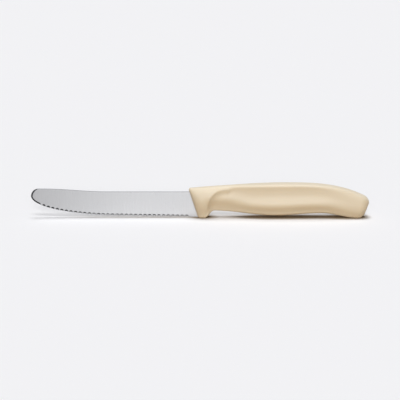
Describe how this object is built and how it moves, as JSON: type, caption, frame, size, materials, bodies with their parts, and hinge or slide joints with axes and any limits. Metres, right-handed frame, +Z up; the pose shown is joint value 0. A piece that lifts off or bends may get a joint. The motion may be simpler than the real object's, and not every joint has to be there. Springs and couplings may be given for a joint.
{
  "type": "tomato knife",
  "caption": "Kitchen knife with a thin round-nosed scalloped blade and a moulded plastic handle with a finger guard, for slicing tomatoes and rolls.",
  "frame": {"origin": "on the ground under the middle of the knife's length, in the middle of its thickness", "axes": "+X along the knife from the tip to the butt, +Y across its thickness, +Z up from the edge to the spine"},
  "size_m": [0.2218, 0.014, 0.0229],
  "materials": {
    "blade_steel": "satin-ground stainless sheet with fine grinding lines across the blade",
    "handle_plastic": "cream moulded plastic with a fine matte texture"
  },
  "bodies": {
    "root": {"blade": "blade_steel", "handle": "handle_plastic"}
  },
  "joints": []
}
